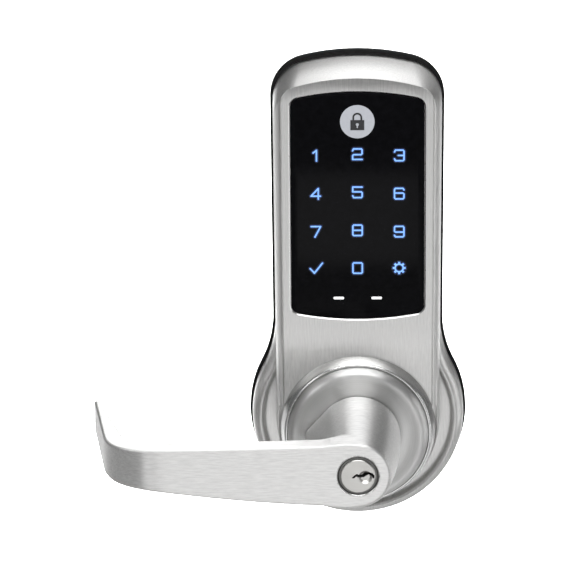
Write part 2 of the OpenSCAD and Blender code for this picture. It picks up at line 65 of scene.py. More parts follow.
# Depths in front of the door
SEAL_T = 4.0
MOAT_H = 15.0           # crescent floor between the rim and the tower
FACE_H = 34.0           # tower's face
GROOVE_H = 33.1         # step along both sides of the face, up to GROOVE_TOP
GROOVE_TOP = 157.0

# Soft crease across the lower face
CREASE_Z = 40.5
CREASE_HALF = 3         # half the height over which it bends
CREASE_SLOPE = 3.5      # degrees that the face below leans back
CREASE_DEPTH = 2.4      # most that any point moves back
CREASE_FRONT = 31.0     # only what lies in front of this depth leans

# Glass
LENS_HALF = 30.15
LENS_BOTTOM = 53.4
LENS_TOP = 160.3
LENS_H = 33.7           # depth of the glass face
LENS_BOW_LOW = 141.0    # radius of the bottom edge
LENS_BOW_HIGH = 130.0   # radius of the top edge
LENS_CORNER = 4.2
LENS_GAP = 0.2          # clearance in its recess
LENS_LEDGE_H = 31.4     # depth of the ledge that it lies on

# Lever
LEVER_H = 94.0          # depth of the lever's face
LEVER_REACH = 121.0     # from the axis to the tip
BLADE_T = 9.6
TIP_H = 28.0            # depth at which the return leg ends
LEG_LEAN = 8            # degrees that the return leg leans outwards
LEG_BEND_H = 74.0       # depth at which the leg becomes straight
HUB_R = 14.8            # rounded end of the blade about the axis
NECK_R = 19.3
NECK_H = 43.2           # depth of the neck's back edge
NECK_TAPER_H = 46.0     # depth from which the neck narrows to the hub
WEDGE_R = 5.5           # small end of the neck's wedge, WEDGE_REACH to the left
WEDGE_REACH = 18.5
EDGE_R = 1.1            # rounding of the blade's edges
STUB_R = 17.4           # short ring behind the neck, between STUB_BACK and STUB_FRONT
STUB_BACK = 40.0
STUB_FRONT = 44.0
SLEEVE_R = 9.0          # bore over the spindle sleeve, up to BORE_STEP_H
BORE_STEP_H = 61.0
CYLINDER_HOLE_R = 9.35  # wider bore for the lock cylinder
CHAMBER_HALF = 2.8      # half width of the slot left of the axis for the cylinder's pin chambers
CHAMBER_ROOF = 3.2      # metal left in front of that slot


# ---- Outlines, as arrays of [x, z] in the front view ----

def arc(cx, cz, r, a0, a1, n):
    """Arc about (cx, cz) from a0 to a1 degrees in n steps."""
    a = np.radians(np.linspace(a0, a1, n + 1))
    return np.stack([cx + r * np.cos(a), cz + r * np.sin(a)], 1)


def both_sides(half):
    """A right half, from the bottom of the centreline to its top, with its mirror image."""
    left = half[-2:0:-1] * [-1, 1]
    return np.concatenate([half, left])


def curve(a, b, c, n):
    """Quadratic curve from a to c, pulled towards b."""
    t = np.linspace(0, 1, n + 1)[:, None]
    return (1 - t) ** 2 * np.array(a) + 2 * t * (1 - t) * np.array(b) + t * t * np.array(c)


def bend(a, b, c, d, n):
    """Cubic curve from a to d, pulled towards b and c."""
    t = np.linspace(0, 1, n + 1)[:, None]
    a, b, c, d = (np.array(p) for p in (a, b, c, d))
    return (1 - t) ** 3 * a + 3 * t * (1 - t) ** 2 * b + 3 * t * t * (1 - t) * c + t ** 3 * d


def crown(half, top, inset, corner, bow, n=24):
    """Right half of a crowned top: a corner arc, then the bow up to the centreline."""
    cz = top - bow
    kx = half - corner
    kz = cz + math.sqrt((bow - corner) ** 2 - kx * kx)
    a = math.degrees(math.atan2(kz - cz, kx))
    return np.concatenate([arc(kx, kz, corner - inset, 0, a, n), arc(0, cz, bow - inset, a, 90, n)])


def outline(inset, top=TOP_Z):
    """The whole escutcheon: round base, hollow waist, tower and crowned top."""
    cx = TOWER_HALF + WAIST_R
    cz = math.sqrt((BASE_R + WAIST_R) ** 2 - cx * cx)
    a = math.degrees(math.atan2(cz, cx))
    return both_sides(np.concatenate([
        arc(0, 0, BASE_R - inset, -90, a, 80),
        arc(cx, cz, WAIST_R + inset, 180 + a, 180, 24),
        crown(TOWER_TOP_HALF, top, inset, CORNER_R, CROWN_R),
    ]))


def tombstone(half, top, corner):
    """The tower: a half-round bottom about the spindle, sides that flare slightly and a crowned top."""
    foot = half - TOWER_FLARE
    sides = [[foot + TOWER_FLARE * t, FLARE_Z + FLARE_RUN * t] for t in np.linspace(0, 1, 13)]
    return both_sides(np.concatenate([
        arc(0, 0, foot, -90, 0, 48), sides, crown(half, top, 0, corner, CROWN_R - 3),
    ]))


def lens_outline(inset):
    """The glass: straight sides, small corners and bowed ends, drawn in by inset."""
    low = LENS_BOTTOM + LENS_BOW_LOW
    high = LENS_TOP - LENS_BOW_HIGH
    kx = LENS_HALF - LENS_CORNER
    kz0 = low - math.sqrt((LENS_BOW_LOW - LENS_CORNER) ** 2 - kx * kx)
    kz1 = high + math.sqrt((LENS_BOW_HIGH - LENS_CORNER) ** 2 - kx * kx)
    a0 = math.degrees(math.atan2(kz0 - low, kx))
    a1 = math.degrees(math.atan2(kz1 - high, kx))
    r = max(LENS_CORNER - inset, 0.3)
    x = LENS_HALF - inset - r
    return both_sides(np.concatenate([
        arc(0, low, LENS_BOW_LOW - inset, -90, a0, 24),
        arc(x, kz0, r, a0, 0, 12),
        arc(x, kz1, r, 0, a1, 12),
        arc(0, high, LENS_BOW_HIGH - inset, a1, 90, 24),
    ]))


# ---- Mesh builders ----

def shade(obj, angle):
    """Smooth shading, with edges sharper than angle degrees left sharp."""
    obj.data.shade_smooth()
    obj.data.set_sharp_from_angle(angle=math.radians(angle))


def new_object(name, verts, faces, smooth_angle):
    """Mesh object from millimetre points, shaded smooth up to smooth_angle degrees."""
    mesh = bpy.data.meshes.new(name)
    mesh.from_pydata([tuple(v) for v in np.asarray(verts) * MM], [], [tuple(f) for f in faces])
    mesh.validate()
    obj = bpy.data.objects.new(name, mesh)
    shade(obj, smooth_angle)
    bpy.context.scene.collection.objects.link(obj)
    return obj


def at_depth(points, h):
    """[x, z] points as [x, y, z] at depth h, which may be one number or one per point."""
    p = np.asarray(points, float)
    return np.stack([p[:, 0], np.broadcast_to(-np.asarray(h, float), len(p)), p[:, 1]], 1)


def loft(name, stack, smooth_angle=32):
    """Closed skin through (depth, outline) pairs listed from the back to the front."""
    n = len(stack[0][1])
    verts = np.concatenate([at_depth(points, h) for h, points in stack])
    faces = []
    for k in range(len(stack) - 1):
        for j in range(n):
            a, b = k * n + j, k * n + (j + 1) % n
            faces.append((a, b, b + n, a + n))
    faces.append(tuple(range(n - 1, -1, -1)))
    faces.append(tuple((len(stack) - 1) * n + j for j in range(n)))
    return new_object(name, verts, faces, smooth_angle)


def turned(name, profile, segments, smooth_angle=32):
    """Turns a closed profile of (radius, depth) about the spindle axis."""
    n = len(profile)
    a = np.linspace(0, 2 * math.pi, segments, endpoint=False)
    verts = []
    for r, h in profile:
        verts.append(np.stack([r * np.cos(a), np.full(segments, -h), r * np.sin(a)], 1))
    faces = []
    for k in range(n):
        m = (k + 1) % n
        for j in range(segments):
            i = (j + 1) % segments
            faces.append((k * segments + j, k * segments + i, m * segments + i, m * segments + j))
    obj = new_object(name, np.concatenate(verts), faces, smooth_angle)
    face_outwards(obj)
    return obj


def face_outwards(obj):
    """Turns every face's normal to the outside."""
    bm = bmesh.new()
    bm.from_mesh(obj.data)
    bmesh.ops.recalc_face_normals(bm, faces=bm.faces)
    bm.to_mesh(obj.data)
    bm.free()


def cut(obj, *cutters):
    """Takes the cutters' volume out of obj for good, and deletes them."""
    for cutter in cutters:
        mod = obj.modifiers.new("cut", "BOOLEAN")
        mod.object = cutter
        mod.operation = "DIFFERENCE"
        mod.solver = "EXACT"
    depsgraph = bpy.context.evaluated_depsgraph_get()
    mesh = bpy.data.meshes.new_from_object(obj.evaluated_get(depsgraph))
    obj.modifiers.clear()
    obj.data = mesh
    for cutter in cutters:
        bpy.data.objects.remove(cutter)


def well(name, front):
    """Cutter for the round hole about the spindle, from behind the housing to depth front."""
    return turned(name, [(0.001, CUT_BACK), (WELL_R, CUT_BACK), (WELL_R, front), (0.001, front)], 128)


# ---- Node helpers and materials ----

NOISE_RANGE = (0.3, 0.7)    # the part of a noise's values that tones and roughness spread over
BRUSH_SPREAD = 0.13         # share by which brushed lines are darker and lighter than the tone
BRUSH_STRENGTH = 0.5
BRUSH_BUMP = 0.00002        # height of brushed lines, in metres
MOTTLE_BUMP = 0.00003       # height of mottling, in metres


def material(name):
    """New material with its nodes, its links and its shader."""
    mat = bpy.data.materials.new(name)
    mat.use_nodes = True
    nodes = mat.node_tree.nodes
    return mat, nodes, mat.node_tree.links, nodes["Principled BSDF"]


def scaled_noise(nodes, links, scale, noise_scale, detail, roughness=0.6):
    """Noise stretched by scale over the object's own coordinates."""
    coord = nodes.new("ShaderNodeTexCoord")
    mapping = nodes.new("ShaderNodeMapping")
    mapping.inputs["Scale"].default_value = scale
    noise = nodes.new("ShaderNodeTexNoise")
    noise.inputs["Scale"].default_value = noise_scale
    noise.inputs["Detail"].default_value = detail
    noise.inputs["Roughness"].default_value = roughness
    links.new(coord.outputs["Object"], mapping.inputs["Vector"])
    links.new(mapping.outputs["Vector"], noise.inputs["Vector"])
    return noise


def ramp_colour(nodes, links, source, low, high):
    """Colour that goes from low to high with source."""
    ramp = nodes.new("ShaderNodeValToRGB")
    for element, at, colour in zip(ramp.color_ramp.elements, NOISE_RANGE, (low, high)):
        element.position = at
        element.color = (*colour, 1)
    links.new(source, ramp.inputs["Fac"])
    return ramp.outputs["Color"]


def map_range(nodes, links, source, low, high):
    """Number that goes from low to high with source."""
    node = nodes.new("ShaderNodeMapRange")
    node.inputs["From Min"].default_value, node.inputs["From Max"].default_value = NOISE_RANGE
    node.inputs["To Min"].default_value = low
    node.inputs["To Max"].default_value = high
    links.new(source, node.inputs["Value"])
    return node.outputs["Result"]


def bump(nodes, links, source, shader, strength, distance):
    """Relief from source, with its height in metres as the distance."""
    node = nodes.new("ShaderNodeBump")
    node.inputs["Strength"].default_value = strength
    node.inputs["Distance"].default_value = distance
    links.new(source, node.inputs["Height"])
    links.new(node.outputs["Normal"], shader.inputs["Normal"])


def finish_with(nodes, links, shader, source, low, high, rough, strength, height):
    """Gives the shader its tone, roughness and relief from one noise."""
    links.new(ramp_colour(nodes, links, source, low, high), shader.inputs["Base Color"])
    links.new(map_range(nodes, links, source, *rough), shader.inputs["Roughness"])
    bump(nodes, links, source, shader, strength, height)


def spread_tone(tone, spread):
    """A darker and a lighter tone, spread apart by that share."""
    return tuple(c * (1 - spread) for c in tone), tuple(min(1.0, c * (1 + spread)) for c in tone)


def brush_direction(nodes, links, shader, vector, amount):
    """Stretches the highlights along vector, which is given in the object's own axes."""
    shader.inputs["Anisotropic"].default_value = amount
    turn = nodes.new("ShaderNodeVectorTransform")
    turn.vector_type = "VECTOR"
    turn.convert_from = "OBJECT"
    turn.convert_to = "WORLD"
    links.new(vector, turn.inputs["Vector"])
    links.new(turn.outputs["Vector"], shader.inputs["Tangent"])


def brushed_metal(name, tone, grain, across, rough, amount):
    """Satin plating with fine lines along the direction in which grain is smallest."""
    mat, nodes, links, shader = material(name)
    shader.inputs["Metallic"].default_value = 1.0
    vector = nodes.new("ShaderNodeCombineXYZ")
    for socket, value in zip(vector.inputs, across):
        socket.default_value = value
    brush_direction(nodes, links, shader, vector.outputs["Vector"], amount)
    lines = scaled_noise(nodes, links, grain, 1.0, 5.0, 0.65)
    low, high = spread_tone(tone, BRUSH_SPREAD)
    finish_with(nodes, links, shader, lines.outputs["Fac"], low, high, rough, BRUSH_STRENGTH, BRUSH_BUMP)
    return mat


def turned_metal(name, tone, rough, spread=0.05, strength=0.2, pitch=2600, amount=0.75):
    """Satin plating brushed round the spindle axis: lines that depend on the radius and the depth."""
    mat, nodes, links, shader = material(name)
    shader.inputs["Metallic"].default_value = 1.0
    coord = nodes.new("ShaderNodeTexCoord")
    parts = nodes.new("ShaderNodeSeparateXYZ")
    links.new(coord.outputs["Object"], parts.inputs["Vector"])
    flat = nodes.new("ShaderNodeCombineXYZ")
    links.new(parts.outputs["X"], flat.inputs["X"])
    links.new(parts.outputs["Z"], flat.inputs["Y"])
    length = nodes.new("ShaderNodeVectorMath")
    length.operation = "LENGTH"
    links.new(flat.outputs["Vector"], length.inputs[0])
    polar = nodes.new("ShaderNodeCombineXYZ")
    links.new(length.outputs["Value"], polar.inputs["X"])
    links.new(parts.outputs["Y"], polar.inputs["Y"])
    outwards = nodes.new("ShaderNodeCombineXYZ")
    links.new(parts.outputs["X"], outwards.inputs["X"])
    links.new(parts.outputs["Z"], outwards.inputs["Z"])
    outwards.inputs["Y"].default_value = 0.004    # keeps a direction on the axis itself
    brush_direction(nodes, links, shader, outwards.outputs["Vector"], amount)
    noise = nodes.new("ShaderNodeTexNoise")
    noise.inputs["Scale"].default_value = pitch
    noise.inputs["Detail"].default_value = 4
    links.new(polar.outputs["Vector"], noise.inputs["Vector"])
    low, high = spread_tone(tone, spread)
    finish_with(nodes, links, shader, noise.outputs["Fac"], low, high, rough, strength, BRUSH_BUMP)
    return mat


def mottled(name, low, high, rough, scale=900, metallic=0.0, strength=0.1, gloss=0.5):
    """Plain material with fine mottling: rubber, plastic, plating and board."""
    mat, nodes, links, shader = material(name)
    shader.inputs["Metallic"].default_value = metallic
    shader.inputs["Specular IOR Level"].default_value = gloss
    noise = scaled_noise(nodes, links, (1, 1, 1), scale, 3.0)
    finish_with(nodes, links, shader, noise.outputs["Fac"], low, high, rough, strength, MOTTLE_BUMP)
    return mat


def lit(name, low, high, glow):
    """Backlit sign: its own light with a slight unevenness."""
    mat, nodes, links, shader = material(name)
    noise = scaled_noise(nodes, links, (1, 1, 1), 500, 2.0)
    colour = ramp_colour(nodes, links, noise.outputs["Fac"], low, high)
    links.new(colour, shader.inputs["Base Color"])
    links.new(colour, shader.inputs["Emission Color"])
    shader.inputs["Emission Strength"].default_value = glow
    links.new(map_range(nodes, links, noise.outputs["Fac"], 0.35, 0.5), shader.inputs["Roughness"])
    return mat


def paint(obj, mat):
    """Gives obj one material and, for a rebuilt piece, its material slot."""
    obj.data.materials.clear()
    obj.data.materials.append(mat)


# Outside. Grain is the noise's scale on each axis, smallest along the lines, and across is the direction
# across them, in which the highlights stretch.
HOUSING = brushed_metal(
    "housing_brushed", (0.7, 0.698, 0.69), grain=(1500, 1500, 110), across=(1, 0.15, 0),
    rough=(0.36, 0.46), amount=0.8)
LEVER = brushed_metal(
    "lever_brushed", (0.8, 0.798, 0.79), grain=(150, 1500, 1500), across=(0, 1, 0.15),
    rough=(0.45, 0.54), amount=0.9)
DISH = turned_metal("dish_brushed", (0.62, 0.62, 0.615), (0.36, 0.46), amount=0.88)
COLLAR = turned_metal("collar_polished", (0.62, 0.62, 0.615), (0.2, 0.28), 0.03, 0.08)
SEAL = mottled("seal_rubber", (0.006, 0.006, 0.006), (0.016, 0.016, 0.016), (0.55, 0.75), gloss=0.08)
LENS = mottled(
    "lens_gloss", (0.003, 0.003, 0.0035), (0.005, 0.005, 0.006), (0.12, 0.16), 300,
    strength=0.01, gloss=0.04)
LEGEND = lit("legend_lit", (0.16, 0.36, 0.8), (0.22, 0.43, 0.9), 0.8)
GLOW = lit("legend_glow", (0.0, 0.02, 0.13), (0.0, 0.028, 0.17), 0.45)
HALO = lit("legend_halo", (0.0, 0.005, 0.025), (0.0, 0.007, 0.035), 0.35)
CHAMFER = mottled("chamfer_polished", (0.56, 0.56, 0.55), (0.62, 0.62, 0.61), (0.26, 0.34), 900, 1.0, 0.05)
BADGE = mottled("badge_print", (0.56, 0.58, 0.63), (0.61, 0.63, 0.68), (0.3, 0.4), 600)
SYMBOL = mottled("symbol_print", (0.008, 0.008, 0.01), (0.014, 0.014, 0.018), (0.3, 0.4), 600)
WINDOW = lit("window_lit", (0.8, 0.8, 0.8), (0.95, 0.95, 0.95), 0.5)
# Inside and behind
PLATE = mottled("plate_zinc", (0.42, 0.43, 0.44), (0.56, 0.57, 0.58), (0.3, 0.45), 160, 1.0)
SCREW = mottled("screw_zinc", (0.28, 0.29, 0.3), (0.4, 0.41, 0.42), (0.3, 0.42), 500, 1.0)
STEEL = turned_metal("turned_steel", (0.5, 0.51, 0.53), (0.22, 0.34), 0.08, 0.2, 1800)
CAGE = mottled("sintered_steel", (0.26, 0.27, 0.28), (0.36, 0.37, 0.38), (0.45, 0.6), 1200, 1.0, 0.2)
NYLON = mottled("natural_nylon", (0.78, 0.75, 0.66), (0.85, 0.82, 0.74), (0.4, 0.5), 700)
SPRING = mottled("spring_steel", (0.2, 0.21, 0.23), (0.3, 0.31, 0.33), (0.25, 0.4), 900, 1.0)
# The shell's nickel is painted far darker than the plug's: painted shade and a painted dark reflection in
# the ring round the plug.
CYLINDER_PAINTED_SHADE = turned_metal("cylinder_nickel_painted_shade", (0.13, 0.13, 0.125), (0.3, 0.42), 0.08, 0.12)
PLUG = turned_metal("plug_nickel", (0.5, 0.495, 0.478), (0.3, 0.4), 0.06, 0.1)
BRASS = mottled("pin_brass", (0.66, 0.5, 0.22), (0.76, 0.6, 0.3), (0.2, 0.3), 900, 1.0)
BOARD = mottled("solder_mask", (0.02, 0.16, 0.07), (0.03, 0.22, 0.1), (0.25, 0.4), 400)
BLACK = mottled("moulded_black", (0.012, 0.012, 0.013), (0.022, 0.022, 0.024), (0.4, 0.55), 1500)
GUIDE = mottled("milky_guide", (0.78, 0.78, 0.72), (0.85, 0.85, 0.8), (0.3, 0.4), 500)

NODE_MATERIALS = {
    "housing": HOUSING, "door_gasket": SEAL, "back_plate": PLATE, "back_plate_screws": SCREW,
    "rose_dish": DISH, "keypad_lens": LENS, "lens_seal": SEAL, "key_legends": LEGEND, "wake_badge": BADGE,
    "wake_symbol": SYMBOL, "status_windows": WINDOW, "light_guide": GUIDE, "keypad_board": BOARD,
    "key_leds": GUIDE, "controller_chip": BLACK, "board_connector": NYLON, "buzzer": BLACK,
    "board_screws": SCREW, "cable_grommet": SEAL, "through_bolt_posts": STEEL, "upper_post": STEEL,
    "spring_cage": CAGE, "cage_cover": PLATE, "cage_screws": SCREW, "front_bush": NYLON, "rear_bush": NYLON,
    "return_spring": SPRING, "lever_handle": LEVER, "spindle_sleeve": STEEL, "spring_carrier": CAGE,
    "thrust_washer": PLATE, "retaining_ring": SPRING, "cylinder_shell": CYLINDER_PAINTED_SHADE, "driver_pins": BRASS,
    "pin_springs": SPRING, "chamber_cover": PLATE, "cylinder_retainer": SPRING, "catch_spring": SPRING,
    "lever_catch": STEEL, "key_plug": PLUG, "key_pins": BRASS, "tailpiece": STEEL, "plug_clip": SPRING,
}
for node_name, mat in NODE_MATERIALS.items():
    paint(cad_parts[node_name], mat)


# ---- Housing: tower, round base and collar ----

def smooth_profile(points, n):
    """Pairs of numbers run through a Catmull-Rom curve with n steps a span."""
    p = np.asarray(points, float)
    p = np.concatenate([[2 * p[0] - p[1]], p, [2 * p[-1] - p[-2]]])
    out = []
    for k in range(1, len(p) - 2):
        for t in np.linspace(0, 1, n, endpoint=False):
            a, b, c, d = p[k - 1:k + 3]
            out.append(0.5 * (2 * b + (c - a) * t + (2 * a - 5 * b + 4 * c - d) * t * t
                              + (3 * b - a - 3 * c + d) * t ** 3))
    out.append(p[-2])
    return [tuple(q) for q in out]


def crease(obj):
    """Leans the lower face back a little below a soft crease across it."""
    bm = bmesh.new()
    bm.from_mesh(obj.data)
    front_y = -CREASE_FRONT * MM
    for d in range(CREASE_HALF, -CREASE_HALF - 1, -1):
        front = [f for f in bm.faces if f.calc_center_median().y < front_y]
        edges = list({e for f in front for e in f.edges})
        verts = list({v for f in front for v in f.verts})
        at = (0, 0, (CREASE_Z + d) * MM)
        bmesh.ops.bisect_plane(bm, geom=front + edges + verts, plane_co=at, plane_no=(0, 0, 1))
    slope = math.tan(math.radians(CREASE_SLOPE))
    for v in bm.verts:
        if v.co.y < front_y:
            below = CREASE_Z - v.co.z / MM
            lean = below
            if below < -CREASE_HALF:
                lean = 0
            elif below < CREASE_HALF:
                lean = (below + CREASE_HALF) ** 2 / (4 * CREASE_HALF)
            v.co.y += min(lean * slope, CREASE_DEPTH) * MM
    bm.to_mesh(obj.data)
    bm.free()


def build_tower():
    """Tower with a rounded shoulder, side grooves, the recess for the glass and a hollow back."""
    # depth, half width, top and corner radius of each outline
    shoulder = [
        (SEAL_T, 38.35, 169.9, 17.8), (10, 38.25, 169.6, 17.6), (16, 38.1, 169.2, 17),
        (21, 37.9, 168.7, 16.2), (25, 37.6, 168.2, 15.3), (28, 37.15, 167.78, 14.2),
        (30, 36.65, 167.48, 13.2), (31.6, 36.05, 167.25, 12), (32.7, 35.5, 167.1, 10.9),
        (33.35, 35.1, 167.0, 9.8), (33.75, 34.8, 166.93, 8.8), (33.92, 34.6, 166.88, 8.2),
        (GROOVE_H, 34.42, 166.75, 7.8), (GROOVE_H, 34.2, 166.62, 7.6), (FACE_H, 34.03, 166.5, 7.5),
    ]
    stack = []
    for h, half, top, corner in shoulder:
        points = tombstone(half, top, corner)
        beside = points[:, 1] < GROOVE_TOP
        stack.append((np.where(beside | (h != GROOVE_H), h, FACE_H - 0.02), points))
    tower = loft("housing_tower", stack)
    recess = loft("recess", [
        (LENS_LEDGE_H, lens_outline(-LENS_GAP)), (33.5, lens_outline(-LENS_GAP)),
        (34.05, lens_outline(-0.75)), (35, lens_outline(-1.7)),
    ])
    window = loft("window", [(20, lens_outline(3.4)), (32, lens_outline(3.4))])
    hollow = loft("hollow", [(CUT_BACK, tombstone(34.6, 165.5, 12)), (30.5, tombstone(33, 163.5, 10))])
    cut(tower, recess, window, hollow, well("well", 37))
    crease(tower)
    shade(tower, 26)
    return tower


def build_base():
    """Skirt, convex rim and crescent floor, following the whole outline."""
    floor_h = MOAT_H - 0.35
    # depth and inset from the outline
    rim = smooth_profile([
        (9, 1.2), (12, 1.35), (14, 1.7), (15.6, 2.3), (16.8, 3.1), (17.6, 4.0), (18.0, 4.9),
        (17.9, 5.6), (17.4, 6.2), (16.6, 6.6), (15.6, 6.9), (14.9, 7.3), (floor_h, 8.2),
    ], 3)
    stack = [(SEAL_T, 1.2)] + rim + [(floor_h, 13)]
    base = loft("housing_base", [(h, outline(inset, TOP_Z - 3)) for h, inset in stack])
    hollow = loft("base_hollow", [(CUT_BACK, outline(4.6, TOP_Z - 6)), (11, outline(4.8, TOP_Z - 6))])
    cut(base, hollow, well("base_well", 20))
    shade(base, 30)
    return base


def build_collar():
    """Raised ring round the dish, with a rolled front edge."""
    return turned("housing_collar", [
        (31.2, 30.5), (35.6, 30.5), (35.45, 33.2), (35.1, 35), (34.3, 37.4), (33.75, 39), (33.45, 39.65),
        (33.1, 39.93), (32.75, 40.0), (32.45, 39.9), (32.3, 39.6), (32.3, 37), (31.2, 37),
    ], 256)


def polish_chamfer(obj):
    """Gives the slanted faces of the bevel round the glass their own, brighter finish."""
    obj.data.materials.append(CHAMFER)
    for face in obj.data.polygons:
        x, y, z = face.center / MM
        at_bevel_depth = LENS_H - 0.3 < -y < FACE_H + 0.1
        beside_glass = abs(x) < LENS_HALF + 1.45 and LENS_BOTTOM - 2.4 < z < LENS_TOP + 2.2
        slanted = 0.4 < -face.normal.y < 0.95
        if at_bevel_depth and beside_glass and slanted:
            face.material_index = 1


tower = build_tower()
base = build_base()
collar = build_collar()
for piece, mat in ((tower, HOUSING), (base, HOUSING), (collar, COLLAR)):
    paint(piece, mat)
    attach(piece, "trim")
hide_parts("housing")
polish_chamfer(tower)


# ---- Seal, dish, lens and lit signs ----

def build_gasket():
    """Flat ring of rubber behind the housing, with rounded outer edges."""
    gasket = loft("door_seal", [
        (0.02, outline(0.3)), (0.25, outline(0.05)), (0.6, outline(0)),
        (3.4, outline(0)), (3.75, outline(0.08)), (3.98, outline(0.35)),
    ])
    cut(gasket, loft("seal_opening", [(-1, outline(5)), (5, outline(5))]))
    shade(gasket, 50)
    return gasket


gasket = build_gasket()
paint(gasket, SEAL)
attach(gasket, "trim")
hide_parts("door_gasket")

dish_front = smooth_profile([
    (18.2, 42.4), (21, 42.48), (23.5, 42.7), (25.5, 43.15), (27.2, 43.65), (28.7, 43.9), (30, 43.6),
    (31, 42.7), (31.7, 41.5), (32, 40.4), (32.1, 39.4),
], 5)
dish_back = [(32.1, 37.2), (30.4, 37.2), (30.4, 40.8), (28, 42.3), (25.4, 41.2), (18.2, 40.8)]
dish = turned("rose_dish_turned", dish_front + dish_back, 256, smooth_angle=40)
paint(dish, DISH)
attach(dish, "trim")
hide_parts("rose_dish")

lens = loft("keypad_glass", [
    (31.8, lens_outline(0.05)), (LENS_H - 0.35, lens_outline(0.05)),
    (LENS_H - 0.1, lens_outline(0.15)), (LENS_H, lens_outline(0.4)),
], smooth_angle=50)
paint(lens, LENS)
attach(lens, "trim")
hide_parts("keypad_lens")


def halo(name, node, spread, thickness):
    """The node's lit strokes widened by spread, as a film of that thickness on the glass."""
    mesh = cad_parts[node].data.copy()
    bm = bmesh.new()
    bm.from_mesh(mesh)
    bmesh.ops.remove_doubles(bm, verts=bm.verts, dist=1e-7)
    middle = sum(v.co.y for v in bm.verts) / len(bm.verts)
    moves = {}
    for v in bm.verts:
        sides = [f.normal for f in v.link_faces if abs(f.normal.y) < 0.5]
        out = sum(sides, Vector()).normalized()
        reach = min(spread / max(out.dot(n), 0.5) for n in sides)
        moves[v] = (out * reach * MM, -(LENS_H + (thickness if v.co.y < middle else 0)) * MM)
    for v, (out, y) in moves.items():
        v.co = (v.co.x + out.x, y, v.co.z + out.z)
    bm.to_mesh(mesh)
    bm.free()
    mesh.name = name
    obj = bpy.data.objects.new(name, mesh)
    bpy.context.scene.collection.objects.link(obj)
    return obj


for name, spread, thickness, mat in (("halo_outer", 0.62, 0.02, HALO), ("halo_inner", 0.25, 0.03, GLOW)):
    film = halo(name, "key_legends", spread, thickness)
    paint(film, mat)
    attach(film, "trim")


# ---- Lever: distance field with blended neck, blade and wedge ----

def polygon_distance(points, px, pz):
    """Signed distance, negative inside, from (px, pz) to a closed polygon."""
    best = np.full(px.shape, np.inf)
    inside = np.zeros(px.shape, bool)
    for a, b in zip(points, np.roll(points, -1, 0)):
        e = b - a
        wx, wz = px - a[0], pz - a[1]
        t = np.clip((wx * e[0] + wz * e[1]) / max(e @ e, 1e-12), 0, 1)
        best = np.minimum(best, (wx - t * e[0]) ** 2 + (wz - t * e[1]) ** 2)
        crosses = (a[1] > pz) != (b[1] > pz)
        if b[1] != a[1]:
            inside ^= crosses & (px < a[0] + (pz - a[1]) * e[0] / e[1])
    return np.sqrt(best) * np.where(inside, -1, 1)


def round_max(a, b, r):
    """Larger of two distances, with the edge between them rounded to radius r."""
    u, v = np.maximum(a + r, 0), np.maximum(b + r, 0)
    return np.minimum(np.maximum(a, b), -r) + np.sqrt(u * u + v * v)


def round_min(a, b, r):
    """Smaller of two distances, with the corner between them filled to radius r."""
    return -round_max(-a, -b, r)


def blade_front():
    """Front view of the blade: the round hub and two slightly bowed edges."""
    return np.concatenate([
        arc(0, 0, HUB_R, -90, 90, 60),
        curve([0, HUB_R], [-50, 12.8], [-LEVER_REACH - 1, 12.3], 30)[1:],
        curve([-LEVER_REACH - 1, -3], [-52, -14.4], [0, -HUB_R], 30)[:-1],
    ])


def blade_plan():
    """Top view of the blade and its return leg, with a bend that tightens towards its middle."""
    lean = math.tan(math.radians(LEG_LEAN))
    leg_x = -LEVER_REACH + (LEG_BEND_H - TIP_H) * lean
    corner_x = -LEVER_REACH + (LEVER_H - TIP_H) * lean
    inner_leg = [leg_x + 7.6, 70]
    return np.concatenate([
        [[HUB_R + 3, LEVER_H]],
        bend([-82, LEVER_H], [-100, LEVER_H], [corner_x, LEVER_H], [leg_x, LEG_BEND_H], 90),
        [[-LEVER_REACH, TIP_H]],
        curve([-LEVER_REACH + 2, TIP_H], [-LEVER_REACH + 9, 52], inner_leg, 16),
        curve(inner_leg, [leg_x + 10.5, LEVER_H - 9.2], [leg_x + 22, LEVER_H - 9.3], 16)[1:],
        [[HUB_R + 3, LEVER_H - BLADE_T]],
    ])


def wedge_distance(x, z, r1, r2, reach):
    """Distance to the outline round a circle r1 on the axis and a smaller circle r2 at x = -reach."""
    side = np.abs(z)
    b = (r1 - r2) / reach
    a = np.sqrt(1 - b * b)
    along = -b * side - a * x
    near = np.hypot(side, x) - r1
    far = np.hypot(side, x + reach) - r2
    flank = a * side - b * x - r1
    return np.where(along < 0, near, np.where(along > a * reach, far, flank))


LEVER_GRID = 0.5    # millimetres between the grid's points
FRONT_POINTS = blade_front()
PLAN_POINTS = blade_plan()


def lever_from(front_d, plan_d, x, h, z):
    """Lever's distance field from its two outline distances and the point's coordinates."""
    blade = round_max(front_d, plan_d, EDGE_R)
    t = np.clip((h - NECK_TAPER_H) / (LEVER_H - NECK_TAPER_H), 0, 1)
    neck_r = HUB_R + (NECK_R - HUB_R) * (1 - t * t)
    neck = wedge_distance(x, z, neck_r, WEDGE_R, WEDGE_REACH)
    neck = round_max(round_max(neck, NECK_H - h, 0.5), h - LEVER_H, EDGE_R)
    fillet = np.clip(-0.45 * (x - 1), 0, 6)    # none on the hub's right, wider towards the blade
    body = np.maximum(round_min(blade, neck, fillet), h - LEVER_H)
    radius = np.hypot(x, z)
    stub = np.maximum(radius - STUB_R, np.maximum(STUB_BACK - h, h - STUB_FRONT))
    body = np.minimum(body, stub)
    bore = radius - np.where(h > BORE_STEP_H, CYLINDER_HOLE_R, SLEEVE_R)
    slot_x = np.maximum(-x - STUB_R, x)
    slot_end = np.maximum(np.abs(z) - CHAMBER_HALF, h - (LEVER_H - CHAMBER_ROOF))
    return np.maximum(body, -np.minimum(bore, np.maximum(slot_x, slot_end)))


